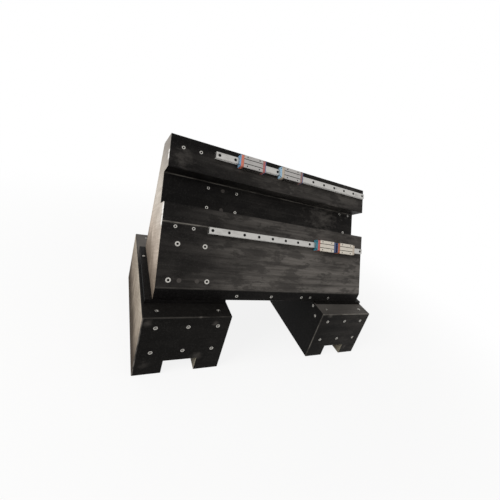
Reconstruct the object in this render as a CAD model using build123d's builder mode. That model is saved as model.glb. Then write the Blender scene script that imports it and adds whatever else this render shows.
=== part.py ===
from build123d import *
from math import cos, radians, sin
import os

# Black granite bridge for an xy stage: two grooved legs, a spacer pad on each, and a cross beam
# whose leaning front carries two ball rails with two carriages each.
# Millimetres, +Z up. The origin is on the floor in the middle of the two legs, the front is at -Y
# and the beam runs along X.

# Granite legs
leg_width = 286.0
leg_depth = 620.0
leg_height = 235.0
leg_gap = 410.0
groove_width = 110.0
groove_height = 55.0
edge_break = 2.0

# Spacer pads between legs and beam
pad_thickness = 15.0
pad_inset = 8.0

# Cross beam section, with distances on the rail face measured up its slope
beam_length = 910.0
beam_left_step = 30.0
beam_setback = 77.0
beam_base_depth = 385.0
front_strip_height = 46.0
face_lean = 30.0
face_length = 522.0
beam_back_height = 439.0
channel_low = 284.0
channel_high = 406.0
channel_depth = 74.0
channel_floor_rise = 7.0
shoulder_height = 3.0

# Profile rails, size 25. Each screw is one with its rail, so only the mouth of its counterbore is open
rail_width = 23.0
rail_height = 22.0
rail_pitch = 60.0
rail_holes = 13
rail_end = 12.5
rail_start = 150.0
lower_rail_rise = 206.5
rail_spacing = 276.0
counterbore = 11.0
counterbore_depth = 9.0
screw_head_height = 6.0
rail_edge = 0.6

# Ball rows between rail and carriage
ball_diameter = 4.762
ball_gap = 0.095
ball_side = 0.45
upper_ball_rise = 17.9
lower_ball_rise = 10.3
row_gap = 0.6

# Carriages, low profile and long
carriage_width = 48.0
carriage_top = 36.0
carriage_foot = 5.5
block_length = 78.6
cap_length = 10.5
seal_thickness = 2.5
cap_step = 0.5
seal_step = 1.0
seal_gap = 0.3
top_groove_width = 2.0
top_groove_depth = 0.8
top_groove_offset = 8.7
block_edge = 1.5
mount_spacing_across = 35.0
mount_spacing_along = 50.0
mount_drill = 5.0
mount_depth = 8.0

# Carriage centres from the left end of the beam
upper_left_at = 290.0
upper_right_at = 466.0
lower_left_at = 668.0
lower_right_at = 782.0

# Steel inserts bonded flush into the granite, each one with it and shown by its threaded bore
small_thread = 6.0
large_thread = 8.0
insert_bore_depth = 16.0
bracket_bore_depth = 26.0

# Where the inserts sit
leg_grid_across = 100.0
leg_grid_low = 95.0
leg_grid_up = 100.0
leg_top_inset = 37.0
side_insert_in = 45.0
side_insert_high_in = 83.0
side_insert_high_drop = 12.0
strip_insert_rise = 19.0
strip_insert_start = 285.0
strip_insert_pitch = 147.5
strip_insert_extra = 626.0
spare_rail_inserts = 2
bracket_centre = 101.0
bracket_upper_rise = 148.5
bracket_upper_span = 92.0
bracket_lower_rise = 26.0
bracket_lower_span = 127.0
channel_grid_centre = 216.5
channel_grid_across = 57.0
channel_grid_low_rise = 21.0
channel_grid_up = 77.0
channel_right_centre = 851.0
channel_right_high_drop = 10.0

# Bolts that hold the beam down on each leg, M16, reached from the groove
bolt_shank = 16.0
bolt_bore = 17.5
bolt_head = 24.0
bolt_head_height = 16.0
bolt_head_bore = 26.0
bolt_head_sink = 20.0
bolt_grip = 32.0
bolt_end_room = 4.0
thread_gap = 0.05
bolt_span = 255.0

# Derived places
stage_width = 2 * leg_width + leg_gap
leg_front = -leg_depth / 2
left_leg_x = -stage_width / 2
right_leg_x = stage_width / 2 - leg_width
beam_x = left_leg_x + beam_left_step
beam_front = leg_front + beam_setback
beam_back = beam_front + beam_base_depth
pad_top = leg_height + pad_thickness
upper_rail_rise = lower_rail_rise + rail_spacing
rail_length = (rail_holes - 1) * rail_pitch + 2 * rail_end
first_hole = rail_start + rail_end
groove_radius = ball_diameter / 2 + ball_gap
bolt_seat = groove_height + bolt_head_sink

# The rail face: local x along the beam, local y up the slope, local z out of the granite
rail_face = Plane(
    origin=(beam_x, beam_front, pad_top + front_strip_height),
    x_dir=(1, 0, 0),
    z_dir=(0, -cos(radians(face_lean)), sin(radians(face_lean))),
)


def face_plane(x, rise, out=0.0):
    """Plane parallel to the rail face, its origin x along, rise up the slope and out of it."""
    return Plane(
        origin=rail_face.from_local_coords((x, rise, out)),
        x_dir=rail_face.x_dir,
        z_dir=rail_face.z_dir,
    )


def across_plane(x, rise):
    """Plane across a rail: local x up the slope, local y out of the face, normal along the beam."""
    return Plane(
        origin=rail_face.from_local_coords((x, rise, 0)),
        x_dir=rail_face.y_dir,
        z_dir=(1, 0, 0),
    )


def face_yz(rise, out=0.0):
    """Y and Z of a point of the rail face."""
    point = rail_face.from_local_coords((0, rise, out))
    return (point.Y, point.Z)


def bores(plane, points, diameter, depth):
    """Cut blind round holes into the part in hand, depth measured into the plane."""
    with BuildSketch(plane) as holes:
        with Locations(*points):
            Circle(diameter / 2)
    extrude(holes.sketch, amount=-depth, mode=Mode.SUBTRACT)


def save(builder, label):
    """Name the finished piece and write it."""
    builder.part.label = label
    export_step(builder.part, f"parts/{label}.step")


# Bore and bolt places


def leg_planes(x):
    """Front and top planes of the leg whose left side is at x."""
    front = Plane(origin=(x, leg_front, 0), x_dir=(1, 0, 0), z_dir=(0, -1, 0))
    top = Plane(origin=(x, leg_front, leg_height), x_dir=(1, 0, 0), z_dir=(0, 0, 1))
    return front, top


leg_columns = [leg_width / 2 + step * leg_grid_across for step in (-1, 0, 1)]
leg_front_points = [(x, leg_grid_low + row * leg_grid_up) for row in (0, 1) for x in leg_columns]
leg_top_points = [
    (x, y)
    for x in (leg_columns[0], leg_columns[2])
    for y in (leg_top_inset, leg_depth - leg_top_inset)
]
side_plane = Plane(origin=(right_leg_x, leg_front, 0), x_dir=(0, -1, 0), z_dir=(-1, 0, 0))
side_points = [
    (-side_insert_in, leg_grid_low + leg_grid_up),
    (-side_insert_high_in, leg_height - side_insert_high_drop),
]


def bolt_points(x):
    """Places of the hold-down bolts of the leg whose left side is at x."""
    middle = (beam_front + beam_back) / 2
    return [(x + leg_width / 2, middle + side * bolt_span / 2) for side in (-1, 1)]


spare_rows = [
    (first_hole - (i + 1) * rail_pitch, rise)
    for rise in (lower_rail_rise, upper_rail_rise)
    for i in range(spare_rail_inserts)
]
strip_plane = Plane(origin=(beam_x, beam_front, pad_top), x_dir=(1, 0, 0), z_dir=(0, -1, 0))
strip_points = [
    (strip_insert_start + i * strip_insert_pitch, strip_insert_rise) for i in range(4)
] + [(strip_insert_extra, strip_insert_rise)]
bracket_points = [
    (bracket_centre + side * span / 2, rise)
    for span, rise in (
        (bracket_upper_span, bracket_upper_rise),
        (bracket_lower_span, bracket_lower_rise),
    )
    for side in (-1, 1)
]
channel_rises = [channel_low + channel_grid_low_rise + row * channel_grid_up for row in (0, 1)]
channel_points = [
    (channel_grid_centre + step * channel_grid_across, rise)
    for rise in channel_rises
    for step in (-1, 1)
] + [
    (channel_right_centre - channel_grid_across / 2, channel_high - channel_right_high_drop),
    (channel_right_centre + channel_grid_across / 2, channel_high - channel_right_high_drop),
    (channel_right_centre, channel_rises[0]),
]


def leg(x):
    """One granite leg: a block with a groove along its foot, insert bores and bolt holes."""
    front, top = leg_planes(x)
    with BuildPart() as block:
        with BuildSketch(Plane.XY):
            with Locations((x + leg_width / 2, 0)):
                Rectangle(leg_width, leg_depth)
        extrude(amount=leg_height)
        chamfer(block.edges(), edge_break)
        with BuildSketch(Plane.XY):
            with Locations((x + leg_width / 2, 0)):
                Rectangle(groove_width, leg_depth)
        extrude(amount=groove_height, mode=Mode.SUBTRACT)
        bores(front, leg_front_points, large_thread, insert_bore_depth)
        bores(top, leg_top_points, large_thread, insert_bore_depth)
        bores(Plane.XY.offset(leg_height), bolt_points(x), bolt_bore, leg_height)
        bores(Plane.XY.offset(bolt_seat), bolt_points(x), bolt_head_bore, bolt_head_sink)
        if x == right_leg_x:
            bores(side_plane, side_points, large_thread, insert_bore_depth)
    return block


def pad(x):
    """One spacer pad on the top of the leg whose left side is at x."""
    with BuildPart() as plate:
        with BuildSketch(Plane.XY.offset(leg_height)):
            with Locations((x + leg_width / 2, (beam_front + beam_back) / 2)):
                Rectangle(leg_width - 2 * pad_inset, beam_base_depth)
        extrude(amount=pad_thickness)
        bores(Plane.XY.offset(pad_top), bolt_points(x), bolt_bore, pad_thickness)
    return plate


# Cross beam: one section along the whole length, with the cable channel between the rail seats
with BuildPart() as cross_beam:
    with BuildSketch(Plane.YZ.offset(beam_x)) as beam_section:
        with BuildLine():
            Polyline(
                (beam_front, pad_top),
                (beam_front, pad_top + front_strip_height),
                face_yz(lower_rail_rise + rail_width / 2),
                face_yz(lower_rail_rise + rail_width / 2, shoulder_height),
                face_yz(channel_low, shoulder_height),
                face_yz(channel_low + channel_floor_rise, -channel_depth),
                face_yz(channel_high, -channel_depth),
                face_yz(channel_high),
                face_yz(face_length),
                (beam_back, pad_top + beam_back_height),
                (beam_back, pad_top),
                close=True,
            )
        make_face()
    extrude(amount=beam_length)
    outer_edges = (
        cross_beam.edges().filter_by(Axis.X).group_by(Axis.Z)[0]
        + cross_beam.edges().filter_by(Axis.X).group_by(Axis.Z)[-1]
        + cross_beam.edges().filter_by(Axis.X).group_by(Axis.Y)[-1].sort_by(Axis.Z)[-1:]
    )
    chamfer(outer_edges, edge_break)
    bores(rail_face, spare_rows, small_thread, insert_bore_depth)
    bores(rail_face, bracket_points, large_thread, bracket_bore_depth)
    bores(face_plane(0, 0, -channel_depth), channel_points, small_thread, insert_bore_depth)
    bores(strip_plane, strip_points, small_thread, insert_bore_depth)
    for leg_x in (left_leg_x, right_leg_x):
        foot_depth = bolt_grip + bolt_end_room
        foot_bore = bolt_shank + 2 * thread_gap
        bores(Plane.XY.offset(pad_top + foot_depth), bolt_points(leg_x), foot_bore, foot_depth)


def rail_outline():
    """Half round ball tracks down both sides of a square rail, foot at the face."""
    with BuildSketch(mode=Mode.PRIVATE) as outline:
        with Locations((0, rail_height / 2)):
            Rectangle(rail_width, rail_height)
        chamfer(outline.vertices(), rail_edge)
        with Locations(*ball_centres()):
            Circle(groove_radius, mode=Mode.SUBTRACT)
    return outline.sketch


def ball_centres():
    """Centres of the four ball rows, across the rail and out of the face."""
    side = rail_width / 2 + ball_side
    return [(i * side, rise) for i in (-1, 1) for rise in (lower_ball_rise, upper_ball_rise)]


def rail(rise):
    """One profile rail with its row of counterbored screws."""
    with BuildPart() as bar:
        with BuildSketch(across_plane(rail_start, rise)):
            add(rail_outline())
        extrude(amount=rail_length)
        row = [(i * rail_pitch, 0) for i in range(rail_holes)]
        mouth = counterbore_depth - screw_head_height
        bores(face_plane(first_hole, rise, rail_height), row, counterbore, mouth)
    return bar


def body_outline(step, opening):
    """Outline across a carriage piece, step smaller all round, less the opening sketch."""
    with BuildSketch(mode=Mode.PRIVATE) as outline:
        with Locations((0, (carriage_top + carriage_foot) / 2)):
            Rectangle(carriage_width - 2 * step, carriage_top - carriage_foot - 2 * step)
        chamfer(outline.vertices().group_by(Axis.Y)[-1], block_edge)
        add(opening, mode=Mode.SUBTRACT)
    return outline.sketch


def gap_around_rail(gap):
    """Plain opening that passes over the rail with the given gap."""
    with BuildSketch(mode=Mode.PRIVATE) as opening:
        with Locations((0, (rail_height + gap) / 2)):
            Rectangle(rail_width + 2 * gap, rail_height + gap)
    return opening.sketch


def carriage_block(at, rise):
    """Steel body of a carriage: ball tracks inside, tapped top with two long grooves."""
    start = at - block_length / 2
    with BuildPart() as block:
        with BuildSketch(across_plane(start, rise)):
            add(body_outline(0, gap_around_rail(row_gap)))
            with Locations(*ball_centres()):
                Circle(groove_radius, mode=Mode.SUBTRACT)
            with Locations(*[(i * top_groove_offset, carriage_top) for i in (-1, 1)]):
                Rectangle(top_groove_width, 2 * top_groove_depth, mode=Mode.SUBTRACT)
        extrude(amount=block_length)
        with Locations(face_plane(at, rise, carriage_top)):
            with GridLocations(mount_spacing_along, mount_spacing_across, 2, 2):
                Hole(mount_drill / 2, mount_depth)
    return block


def end_caps(at, rise):
    """The two moulded end caps of a carriage."""
    with BuildPart() as caps:
        for start in (at - block_length / 2 - cap_length, at + block_length / 2):
            with BuildSketch(across_plane(start, rise)) as section:
                add(body_outline(cap_step, gap_around_rail(row_gap + cap_step)))
            extrude(section.sketch, amount=cap_length)
    return caps


def end_seals(at, rise):
    """The two seal plates of a carriage, their lips just clear of the rail."""
    reach = block_length / 2 + cap_length
    with BuildPart() as seals:
        for start in (at - reach - seal_thickness, at + reach):
            with BuildSketch(across_plane(start, rise)) as section:
                add(body_outline(seal_step, gap_around_rail(seal_gap)))
            extrude(section.sketch, amount=seal_thickness)
    return seals


def ball_rows(at, rise):
    """The four loaded ball rows of a carriage, each as a round bar of the ball diameter."""
    with BuildPart() as rows:
        with BuildSketch(across_plane(at - block_length / 2, rise)):
            with Locations(*ball_centres()):
                Circle(ball_diameter / 2)
        extrude(amount=block_length)
    return rows


# Bolts through each leg and pad into the foot of the beam
with BuildPart() as hold_down_bolts:
    seat_points = bolt_points(left_leg_x) + bolt_points(right_leg_x)
    with BuildSketch(Plane.XY.offset(bolt_seat)):
        with Locations(*seat_points):
            Circle(bolt_head / 2)
    extrude(amount=-bolt_head_height)
    with BuildSketch(Plane.XY.offset(bolt_seat)):
        with Locations(*seat_points):
            Circle(bolt_shank / 2)
    extrude(amount=pad_top + bolt_grip - bolt_seat)


os.makedirs("parts", exist_ok=True)
save(leg(left_leg_x), "left_leg")
save(leg(right_leg_x), "right_leg")
save(pad(left_leg_x), "left_pad")
save(pad(right_leg_x), "right_pad")
save(cross_beam, "cross_beam")
save(hold_down_bolts, "hold_down_bolts")
save(rail(upper_rail_rise), "upper_rail")
save(rail(lower_rail_rise), "lower_rail")

carriages = {
    "upper_left": (upper_left_at, upper_rail_rise),
    "upper_right": (upper_right_at, upper_rail_rise),
    "lower_left": (lower_left_at, lower_rail_rise),
    "lower_right": (lower_right_at, lower_rail_rise),
}
for name, (at, rise) in carriages.items():
    save(carriage_block(at, rise), f"{name}_block")
    save(end_caps(at, rise), f"{name}_end_caps")
    save(end_seals(at, rise), f"{name}_end_seals")
    save(ball_rows(at, rise), f"{name}_ball_rows")
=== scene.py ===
"""Dresses the granite xy stage: its stone faces, steel rails, bonded inserts, screws and carriages."""

import logging
from dataclasses import dataclass, field
from enum import Enum
from functools import cached_property, partialmethod, reduce
from typing import Iterable

import bpy
import numpy as np
from mathutils import Matrix, Vector


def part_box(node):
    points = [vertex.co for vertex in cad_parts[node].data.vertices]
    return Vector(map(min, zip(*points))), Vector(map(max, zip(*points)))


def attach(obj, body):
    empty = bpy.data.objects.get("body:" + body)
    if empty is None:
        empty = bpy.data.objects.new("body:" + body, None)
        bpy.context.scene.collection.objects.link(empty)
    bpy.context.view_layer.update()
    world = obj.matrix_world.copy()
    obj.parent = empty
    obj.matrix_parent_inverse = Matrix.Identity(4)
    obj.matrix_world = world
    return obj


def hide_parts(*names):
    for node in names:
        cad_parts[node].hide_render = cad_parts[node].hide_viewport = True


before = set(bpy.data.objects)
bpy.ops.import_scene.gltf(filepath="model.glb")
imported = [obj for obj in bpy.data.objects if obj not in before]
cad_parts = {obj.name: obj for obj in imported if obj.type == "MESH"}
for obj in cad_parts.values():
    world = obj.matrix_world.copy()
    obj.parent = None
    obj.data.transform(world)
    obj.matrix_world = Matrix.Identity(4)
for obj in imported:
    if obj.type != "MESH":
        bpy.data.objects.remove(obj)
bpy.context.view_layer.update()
LOG = logging.getLogger("granite_stage")
MM = 0.001
STAND = "stand"
LEAN = 30.0
SMOOTH_UNDER = 35.0
CORNER_POINTS = 5
RING_TURN = np.linspace(0, 2 * np.pi, 32, endpoint=False)

Tree = bpy.types.NodeTree
Node = bpy.types.Node
Socket = bpy.types.NodeSocket
Triple = tuple[float, float, float]


class End(Enum):
    """The two ends of a carriage, with the way each looks along X."""

    LEFT = -1
    RIGHT = 1


def linear_colour(code: str) -> tuple[float, float, float, float]:
    """Turns an sRGB hex code such as #1b1a19 into linear RGBA.

    Args:
        code: Six hex digits after a hash sign.

    Returns:
        Red, green, blue and alpha, each from 0 to 1.
    """
    channels = np.array([int(code[i : i + 2], 16) for i in (1, 3, 5)]) / 255
    linear = np.where(channels <= 0.04045, channels / 12.92, ((channels + 0.055) / 1.055) ** 2.4)
    return (*(float(c) for c in linear), 1.0)


def add_node(tree: Tree, kind: str, settings: dict | None = None, links: dict | None = None) -> Node:
    """Adds one shader node with its settings and links.

    Args:
        tree: The tree that takes the node.
        kind: The node's type name after ShaderNode.
        settings: Values by property name, or by input name or number.
        links: Output sockets by input name or number.

    Returns:
        The new node.
    """
    made = tree.nodes.new("ShaderNode" + kind)
    for key, value in (settings or {}).items():
        if isinstance(key, str) and hasattr(made, key):
            setattr(made, key, value)
        else:
            made.inputs[key].default_value = value
    for key, socket in (links or {}).items():
        tree.links.new(socket, made.inputs[key])
    return made


@dataclass(frozen=True)
class Value:
    """A number that varies over a surface. Patterns are formulas of them, with the usual signs.

    Attributes:
        tree: The material's tree.
        socket: Where the number comes from.
    """

    tree: Tree
    socket: Socket

    def worked(self, operation: str, other: "Value | float | None" = None) -> "Value":
        """Takes one step of arithmetic.

        Args:
            operation: The step's name.
            other: The second number, if the step has one.

        Returns:
            The result.
        """
        settings, links = {"operation": operation}, {0: self.socket}
        if isinstance(other, Value):
            links[1] = other.socket
        elif other is not None:
            settings[1] = other
        return Value(self.tree, add_node(self.tree, "Math", settings, links).outputs[0])

    __add__ = partialmethod(worked, "ADD")
    __sub__ = partialmethod(worked, "SUBTRACT")
    __mul__ = partialmethod(worked, "MULTIPLY")
    __abs__ = partialmethod(worked, "ABSOLUTE")
    __lt__ = partialmethod(worked, "LESS_THAN")
    __gt__ = partialmethod(worked, "GREATER_THAN")
    larger = partialmethod(worked, "MAXIMUM")

    def step(self, low: float, high: float, top: float = 1.0) -> "Value":
        """Smooth step from 0 at low to top at high: 3 t^2 - 2 t^3 of the share t of the way."""
        settings = {"interpolation_type": "SMOOTHSTEP", 1: low, 2: high, 3: 0.0, 4: top}
        return Value(self.tree, add_node(self.tree, "MapRange", settings, {0: self.socket}).outputs[0])


@dataclass
class Surface:
    """One material under work: what can be read at each spot, and the shader that takes the result.

    Attributes:
        tree: The material's tree.
        shader: Its principled shader.
    """

    tree: Tree
    shader: Node

    @cached_property
    def place(self) -> Socket:
        """Object coordinates in metres."""
        return add_node(self.tree, "TexCoord").outputs["Object"]

    def parts(self, vector: Socket) -> tuple[Value, ...]:
        """X, Y and Z of a vector."""
        outputs = add_node(self.tree, "SeparateXYZ", links={0: vector}).outputs
        return tuple(Value(self.tree, output) for output in outputs)

    @cached_property
    def spot(self) -> tuple[Value, ...]:
        """X, Y and Z of the place."""
        return self.parts(self.place)

    @cached_property
    def facing(self) -> tuple[Value, ...]:
        """X, Y and Z of the direction that the surface faces."""
        return self.parts(add_node(self.tree, "TexCoord").outputs["Normal"])

    def mottle(self, size: Triple, place: Socket | None = None, **noise: float) -> Value:
        """Soft noise from 0 to 1.

        Args:
            size: About how long its patches are along X, Y and Z, in millimetres.
            place: Coordinates that it follows, the object's own if none are given.
            **noise: Detail, Roughness or Distortion of the noise.

        Returns:
            The noise.
        """
        scale = tuple(1 / (length * MM) for length in size)
        turned = add_node(self.tree, "Mapping", {"Scale": scale}, {"Vector": place or self.place})
        settings = {"Scale": 1.0, "Detail": 4.0, "Roughness": 0.55, **noise}
        made = add_node(self.tree, "TexNoise", settings, {"Vector": turned.outputs[0]})
        return Value(self.tree, made.outputs["Fac"])

    def distance(self, spot: Triple, axes: str = "xyz") -> Value:
        """Distance from a spot, or from a line through it along the axis that is left out.

        Args:
            spot: The spot, with 0 for the axis that is left out.
            axes: The axes that count.

        Returns:
            The distance in metres.
        """
        source = self.place
        if axes != "xyz":
            links = {i: value.socket for i, value in enumerate(self.spot) if "xyz"[i] in axes}
            source = add_node(self.tree, "CombineXYZ", links=links).outputs[0]
        measured = add_node(self.tree, "VectorMath", {"operation": "DISTANCE", 1: spot}, {0: source})
        return Value(self.tree, measured.outputs[1])

    def blend(self, share: Value, first: Socket | str, second: Socket | str) -> Socket:
        """Mixes two colours.

        Args:
            share: 0 for the first, 1 for the second.
            first: Its socket or hex code.
            second: Its socket or hex code.

        Returns:
            The mixed colour.
        """
        settings, links = {"data_type": "RGBA"}, {0: share.socket}
        for number, colour in ((6, first), (7, second)):
            if isinstance(colour, str):
                settings[number] = linear_colour(colour)
            else:
                links[number] = colour
        return add_node(self.tree, "Mix", settings, links).outputs[2]

    def ramp(self, value: Value, stops: list[tuple[float, tuple[float, float, float, float]]]) -> Socket:
        """A colour that changes with a value, straight from stop to stop.

        Args:
            value: The value.
            stops: Value and linear colour, in rising order.

        Returns:
            The colour.
        """
        lowest, highest = stops[0][0], stops[-1][0]
        scaled = add_node(self.tree, "MapRange", {1: lowest, 2: highest}, {0: value.socket})
        made = add_node(self.tree, "ValToRGB", links={0: scaled.outputs[0]})
        points = made.color_ramp.elements
        while len(points) < len(stops):
            points.new(0.5)
        for point, (at, colour) in zip(points, stops):
            point.position = (at - lowest) / (highest - lowest)
            point.color = colour
        return made.outputs[0]

    def fill(self, colour: Socket, roughness: Value) -> None:
        """Gives the shader its base colour and roughness."""
        self.tree.links.new(colour, self.shader.inputs["Base Color"])
        self.tree.links.new(roughness.socket, self.shader.inputs["Roughness"])

    def emboss(self, height: Value, depth: float, strength: float = 1.0) -> None:
        """Gives the surface its relief.

        Args:
            height: Height from 0 to 1.
            depth: Real depth of the relief in millimetres.
            strength: Share of it that is used.
        """
        settings = {"Strength": strength, "Distance": depth * MM}
        bump = add_node(self.tree, "Bump", settings, {"Height": height.socket})
        self.tree.links.new(bump.outputs[0], self.shader.inputs["Normal"])


@dataclass(frozen=True)
class Finish:
    """A surface finish that can be built once as a material.

    Attributes:
        name: The material's name.
        colour: Base colour as sRGB hex.
        roughness: Microscopic roughness from 0 to 1.
        metallic: 1 for bare metal, otherwise 0.
        level: Specular level, 0.5 for an ordinary dielectric.
    """

    name: str
    colour: str
    roughness: float = 0.5
    metallic: float = 0.0
    level: float = 0.5

    def material(self) -> bpy.types.Material:
        """Finds or builds the finish.

        Returns:
            The material, shared by every piece with this finish.
        """
        known = bpy.data.materials.get(self.name)
        if known:
            return known
        made = bpy.data.materials.new(self.name)
        made.use_nodes = True
        made.diffuse_color = linear_colour(self.colour)
        tree = made.node_tree
        tree.nodes.clear()
        settings = {"Metallic": self.metallic, "Specular IOR Level": self.level}
        shader = add_node(tree, "BsdfPrincipled", settings)
        self.paint(Surface(tree, shader))
        add_node(tree, "OutputMaterial", links={"Surface": shader.outputs[0]})
        return made

    def paint(self, surface: Surface) -> None:
        """Fills in colour, roughness and relief.

        Args:
            surface: The surface to paint.
        """
        raise NotImplementedError


@dataclass(frozen=True)
class Drift:
    """Dust that grows from one place to another; on the beam it also paints a sheen that brightens to the
    right.

    Attributes:
        start: Where it begins, in metres.
        end: Where it is strongest.
        least: Share of dust before the start.
        most: Share of dust past the end.
    """

    start: float = 0.0
    end: float = 1.0
    least: float = 0.0
    most: float = 0.0

    def share(self, where: Value) -> Value:
        """The share of dust at that place."""
        return where.step(self.start, self.end, self.most - self.least) + self.least


@dataclass(frozen=True)
class Sawn:
    """The ends of a stone as the saw left them, dry and pale.

    Attributes:
        beyond: Faces that look along X are sawn where they lie beyond this distance from the middle.
        tones_with_foot_shade: Height in metres and colour there, from the lower edge up; dark tones low down
            paint shade at the foot.
        fresh: Strips beside the leaning front that were dressed last and are whitest: rises from and to.
        groove: Distance of a groove's middle from the stage's middle, or 0. Its walls are sawn too.
        groove_half: Half the groove's width.
        groove_top: Z of its ceiling.
    """

    beyond: float = 10.0
    tones_with_foot_shade: tuple[tuple[float, str], ...] = ((0.0, "#a99f93"), (1.0, "#a99f93"))
    fresh: tuple[tuple[float, float], ...] = ()
    groove: float = 0.0
    groove_half: float = 57 * MM
    groove_top: float = 56 * MM


@dataclass(frozen=True)
class Granite(Finish):
    """Black granite, lapped with loose grit to a semi matt face, then wiped and dusted in the workshop.

    The eye gets a near black face whose pale haze runs in wiped streaks, and dry grey beige sawn ends.
    The haze is dust that in places also paints sheen and shade.

    Attributes:
        fleck: Colour of the feldspar flecks, 1 to 3 mm across.
        dust: Colour of dry stone dust wiped along the faces.
        edge_wear: Colour of knocked edges.
        saw_shade: Colour of the darker saw marks.
        fresh_stone: Colour of the strips that were dressed last.
        groove_stone: Colour of a groove's walls.
        along: Dust by place along X; on the beam it also paints the sheen that grows to the right.
        top: Dust of upward faces by place along Y.
        dust_and_shade_bands: Dust by distance up the leaning face, as pairs of metres and share; where it
            thins just under the lower rail it paints shade.
        face_start: Y and Z of the foot of the leaning face.
        spots: X, Y, Z, radius and share of single smears.
        worn: Y, Z and share of long edges that are worn light.
        posts: X, Y and share of upright edges that are worn light.
        sawn: The sawn ends.
    """

    fleck: str = "#2e2d2c"
    dust: str = "#8f8983"
    edge_wear: str = "#a39d95"
    saw_shade: str = "#5d5348"
    fresh_stone: str = "#f2f0ed"
    groove_stone: str = "#968f7f"
    along: Drift = Drift()
    top: Drift = Drift()
    dust_and_shade_bands: tuple[tuple[float, float], ...] = ()
    face_start: tuple[float, float] = (0.0, 0.0)
    spots: tuple[tuple[float, float, float, float, float], ...] = ()
    worn: tuple[tuple[float, float, float], ...] = ()
    posts: tuple[tuple[float, float, float], ...] = ()
    sawn: Sawn = Sawn()

    def paint(self, surface: Surface) -> None:
        """Flecked black stone under streaked dust that also paints sheen and shade in places, with sawn faces
        where the normal looks along X.

        Args:
            surface: The surface to paint.
        """
        dust_sheen_and_shade = self.dust_sheen_and_shade(surface)
        colour = surface.blend(dust_sheen_and_shade, self.stone(surface), self.dust)
        if self.worn or self.posts:
            colour = surface.blend(self.wear(surface), colour, self.edge_wear)
        rough = self.sawn_share(surface)
        pale = self.sawn_colour(surface)
        if self.sawn.groove:
            pale = surface.blend(self.groove_wall(surface), pale, self.groove_stone)
        matt = (dust_sheen_and_shade * 0.35 + self.roughness).larger(rough * 0.9)
        surface.fill(surface.blend(rough, colour, pale), matt)
        grit = surface.mottle((1.2, 1.2, 1.2), Detail=3.0)
        surface.emboss(grit * (rough + 0.1), 0.4)

    def stone(self, surface: Surface) -> Socket:
        """Colour of the clean stone: black, with crystals of which the palest are flecks.

        Args:
            surface: The surface to paint.

        Returns:
            The colour.
        """
        crystal = 2.2 * MM
        settings = {"feature": "F1", "Scale": 1 / crystal, "Randomness": 1.0}
        cells = add_node(surface.tree, "TexVoronoi", settings, {"Vector": surface.place})
        shade = add_node(surface.tree, "SeparateColor", links={0: cells.outputs["Color"]}).outputs[0]
        flecks = Value(surface.tree, shade).step(0.7, 0.98, 0.8)
        cloud = surface.mottle((20, 20, 20), Detail=6.0)
        return surface.blend(flecks * cloud, self.colour, self.fleck)

    def dust_sheen_and_shade(self, surface: Surface) -> Value:
        """Share of dust over the stone: a film that streaks, smears, strokes and wiped patches thin out.
        The same share also paints sheen, as on the beam towards the right, and shade, as under its lower
        rail.

        Args:
            surface: The surface to paint.

        Returns:
            The share.
        """
        streak = surface.mottle((300, 20, 11), Detail=5.0, Roughness=0.6, Distortion=0.15)
        smear = surface.mottle((200, 80, 60), Detail=5.0, Roughness=0.55, Distortion=0.6)
        strokes = surface.mottle((60, 4, 2), Detail=3.0, Roughness=0.7)
        wiped = surface.mottle((100, 50, 40), Detail=9.0, Roughness=0.68).step(0.43, 0.52)
        pattern = (streak * 0.5 + smear * 0.5).step(0.32, 0.66) * (strokes + 0.5) * (wiped * 0.7 + 0.3)
        # Along X: dust, and on the beam also a painted sheen that grows to the right.
        amount = self.along.share(surface.spot[0])
        # Bands up the face: dust, with less of it just under the lower rail as painted shade.
        if self.dust_and_shade_bands:
            stops = [(at, (level, level, level, 1.0)) for at, level in self.dust_and_shade_bands]
            rise, _ = self.slope(surface)
            amount = amount * Value(surface.tree, surface.ramp(rise, stops))
        amount = amount * abs(surface.facing[0]).step(0.95, 0.9)
        total = (pattern * 0.75 + 0.25) * amount
        if self.top.most:
            upward = surface.facing[2].step(0.9, 0.95)
            total = total.larger(upward * self.top.share(surface.spot[1]) * (smear + 0.3))
        if self.spots:
            ragged = surface.mottle((30, 20, 16), Detail=6.0, Roughness=0.65)
        for x, y, z, radius, share in self.spots:
            edge = surface.distance((x, y, z)) + ragged * (radius * 2.4)
            total = total.larger(edge.step(radius * 2.3, radius * 0.9, share) * (strokes + 0.4))
        return total

    def wear(self, surface: Surface) -> Value:
        """Light broken lines where edges have been knocked and wiped.

        Args:
            surface: The surface to paint.

        Returns:
            The share of wear.
        """
        reach, core = 5 * MM, 1.2 * MM
        lines = [surface.distance((0.0, y, z), "yz").step(reach, core, share) for y, z, share in self.worn]
        lines += [surface.distance((x, y, 0.0), "xy").step(reach, core, share) for x, y, share in self.posts]
        broken = surface.mottle((50, 20, 20), Detail=6.0).step(0.38, 0.62)
        return reduce(Value.larger, lines) * (broken * 0.7 + 0.3)

    def sawn_share(self, surface: Surface) -> Value:
        """1 on the sawn ends, a little less on groove walls, 0 elsewhere.

        Args:
            surface: The surface to paint.

        Returns:
            The share.
        """
        share = abs(surface.spot[0]) > self.sawn.beyond
        if self.sawn.groove:
            share = share.larger(self.groove_wall(surface) * 0.8)
        return abs(surface.facing[0]).step(0.9, 0.95) * share

    def groove_wall(self, surface: Surface) -> Value:
        """1 near a leg's groove, 0 elsewhere."""
        near = abs(abs(surface.spot[0]) - self.sawn.groove) < self.sawn.groove_half
        return near * (surface.spot[2] < self.sawn.groove_top)

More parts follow.
